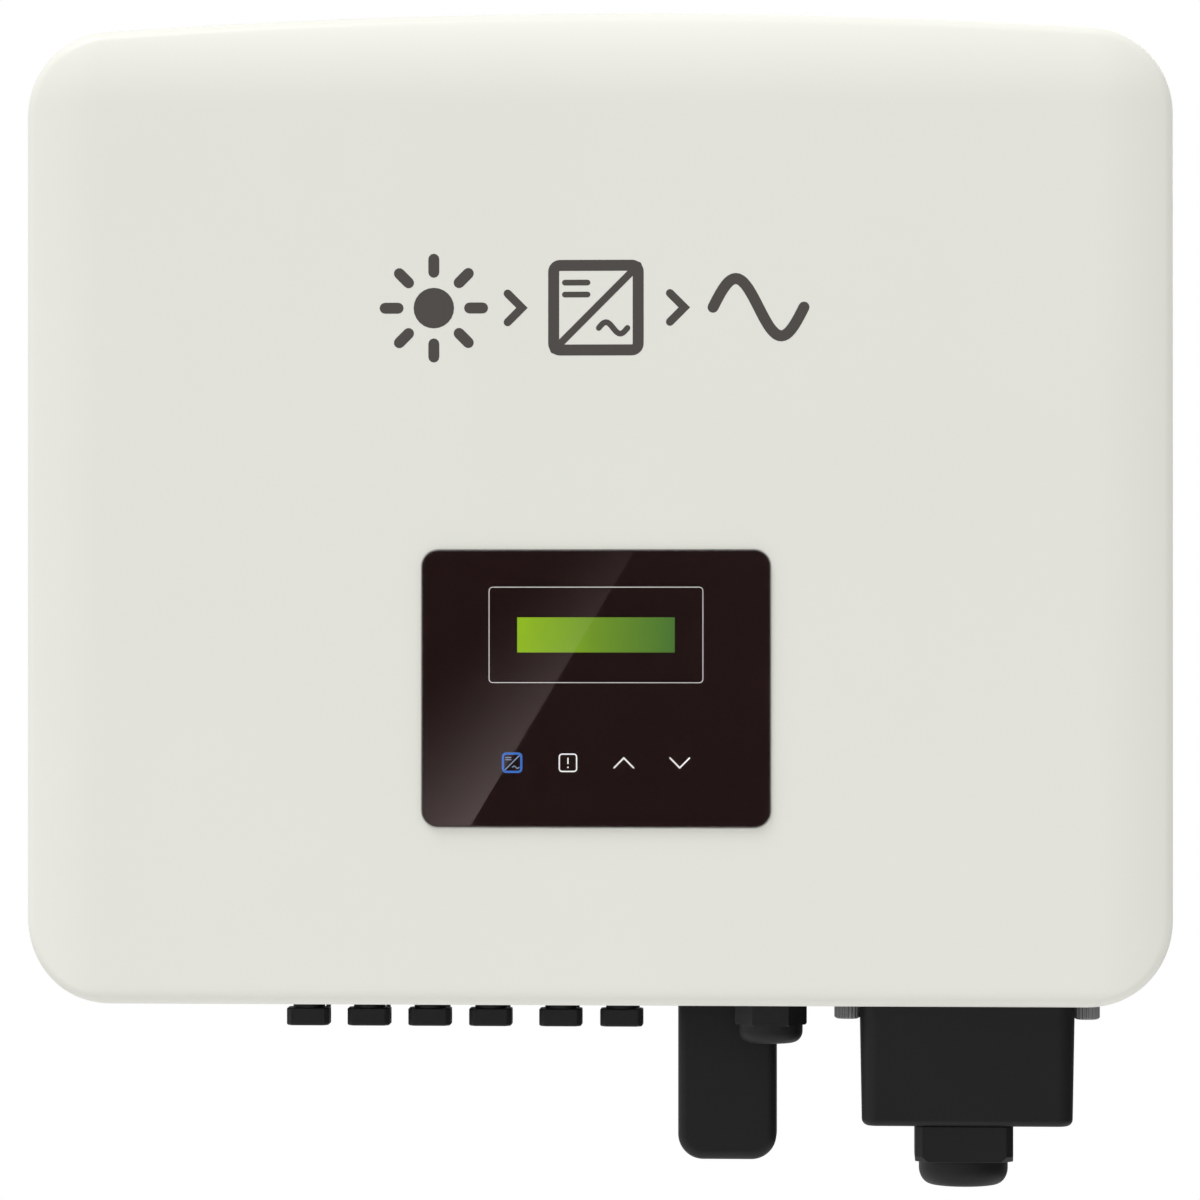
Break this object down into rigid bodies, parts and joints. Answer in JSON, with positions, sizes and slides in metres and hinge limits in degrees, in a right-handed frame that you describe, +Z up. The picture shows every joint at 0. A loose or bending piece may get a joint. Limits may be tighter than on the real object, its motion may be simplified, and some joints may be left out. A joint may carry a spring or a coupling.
{
  "type": "string inverter",
  "caption": "Wall-hung string inverter with a crowned cover, display window, finned heat sink with fans, string connectors, cable glands and a pull-off grid connector.",
  "frame": {"origin": "centre of the wall bracket's bolt pattern, on the wall plane", "axes": "+X to the right seen from the front, +Y into the wall, +Z up"},
  "size_m": [0.482, 0.1908, 0.5003],
  "materials": {
    "galvanised_steel": "zinc-coated sheet",
    "chrome_wire": "plated wire",
    "chassis_paint": "fine grey powder coat on die-cast aluminium",
    "cover_paint": "warm white fine-texture powder coat",
    "heat_sink_aluminium": "extruded, anodised",
    "seal_rubber": "matt",
    "stainless_screws": "machined stainless steel",
    "thumb_screw_metal": "ribbed, dull grey",
    "brass_screws": "plain",
    "display_gloss": "smoked, high gloss",
    "display_print": "printed film",
    "lcd_green": "backlit yellow-green",
    "circuit_board": "solder mask",
    "ribbon_grey": "flat cable",
    "fan_plastic": "glass-filled plastic",
    "module_resin": "moulded resin",
    "capacitor_sleeve": "shrink sleeve",
    "capacitor_box": "boxed film",
    "ferrite": "ferrite and iron cores with windings",
    "relay_orange": "moulded",
    "wire_red": "insulated wire",
    "black_plastic": "glass-filled nylon",
    "contact_metal": "tin-plated",
    "terminal_green": "moulded"
  },
  "bodies": {
    "wall_bracket": {"wall_bracket": "galvanised_steel"},
    "inverter": {"chassis": "chassis_paint", "front_cover": "cover_paint", "cover_gasket": "seal_rubber", "cover_screws": "stainless_screws", "display_window": "display_gloss", "display_mask": "display_print", "lcd_module": "lcd_green", "display_board": "circuit_board", "touch_springs": "brass_screws", "display_cable": "ribbon_grey", "heat_sink": "heat_sink_aluminium", "heatsink_gasket": "seal_rubber", "heatsink_screws": "stainless_screws", "hanger_rail": "galvanised_steel", "rear_screws": "stainless_screws", "duct_plate": "galvanised_steel", "wall_spacers": "seal_rubber", "fan_tray": "galvanised_steel", "fan_guards": "chrome_wire", "fan_frames": "fan_plastic", "power_board": "circuit_board", "board_standoffs": "brass_screws", "board_screws": "stainless_screws", "power_modules": "module_resin", "dc_link_capacitors": "capacitor_sleeve", "film_capacitors": "capacitor_box", "boost_inductors": "ferrite", "filter_inductors": "ferrite", "emi_chokes": "ferrite", "grid_relays": "relay_orange", "current_sensors": "module_resin", "control_board": "circuit_board", "connection_wires": "wire_red", "dc_switch_body": "black_plastic", "pv_positive_connectors": "black_plastic", "pv_negative_connectors": "black_plastic", "pv_contacts": "contact_metal", "pv_nuts": "black_plastic", "com_gland_body": "black_plastic", "com_gland_seal": "seal_rubber", "dongle_port": "black_plastic", "ac_socket": "black_plastic", "ac_contacts": "contact_metal", "breather_valve": "black_plastic", "ground_screws": "brass_screws"},
    "dc_switch_knob": {"dc_switch_knob": "black_plastic"},
    "communication_stick": {"dongle_housing": "black_plastic", "dongle_plug": "contact_metal"},
    "ac_connector": {"ac_housing": "black_plastic", "ac_gasket": "seal_rubber", "ac_terminal_plug": "terminal_green", "ac_gland_seal": "seal_rubber"},
    "ac_thumb_screw_left": {"ac_thumb_screw_left": "thumb_screw_metal"},
    "ac_thumb_screw_right": {"ac_thumb_screw_right": "thumb_screw_metal"},
    "ac_gland_nut": {"ac_gland_nut": "black_plastic"},
    "com_gland_nut": {"com_gland_nut": "black_plastic"},
    "fan_rotor_left": {"fan_rotor_left": "fan_plastic"},
    "fan_rotor_middle": {"fan_rotor_middle": "fan_plastic"},
    "fan_rotor_right": {"fan_rotor_right": "fan_plastic"}
  },
  "joints": [
    {"name": "lift_off", "type": "slide", "parent": "wall_bracket", "child": "inverter", "axis": [0, 0, 1], "range_m": [0, 0.025]},
    {"name": "dc_switch_turn", "type": "hinge", "parent": "inverter", "child": "dc_switch_knob", "pos_m": [-0.185, -0.1, -0.29], "axis": [0, 0, 1], "range_deg": [0, 90]},
    {"name": "communication_stick_pull", "type": "slide", "parent": "inverter", "child": "communication_stick", "axis": [0, 0, -1], "range_m": [0, 0.025]},
    {"name": "ac_connector_pull", "type": "slide", "parent": "inverter", "child": "ac_connector", "axis": [0, 0, -1], "range_m": [0, 0.04]},
    {"name": "ac_thumb_screw_left_turn", "type": "hinge", "parent": "ac_connector", "child": "ac_thumb_screw_left", "pos_m": [0.1049, -0.112, -0.3], "axis": [0, 0, 1], "continuous": true},
    {"name": "ac_thumb_screw_right_turn", "type": "hinge", "parent": "ac_connector", "child": "ac_thumb_screw_right", "pos_m": [0.2081, -0.112, -0.3], "axis": [0, 0, 1], "continuous": true},
    {"name": "ac_gland_nut_turn", "type": "hinge", "parent": "ac_connector", "child": "ac_gland_nut", "pos_m": [0.1552, -0.099, -0.37], "axis": [0, 0, 1], "continuous": true},
    {"name": "com_gland_nut_turn", "type": "hinge", "parent": "inverter", "child": "com_gland_nut", "pos_m": [0.0718, -0.11, -0.31], "axis": [0, 0, 1], "continuous": true},
    {"name": "fan_left_spin", "type": "hinge", "parent": "inverter", "child": "fan_rotor_left", "pos_m": [-0.104, -0.036, -0.265], "axis": [0, 0, 1], "continuous": true},
    {"name": "fan_middle_spin", "type": "hinge", "parent": "inverter", "child": "fan_rotor_middle", "pos_m": [0, -0.036, -0.265], "axis": [0, 0, 1], "continuous": true},
    {"name": "fan_right_spin", "type": "hinge", "parent": "inverter", "child": "fan_rotor_right", "pos_m": [0.104, -0.036, -0.265], "axis": [0, 0, 1], "continuous": true}
  ]
}
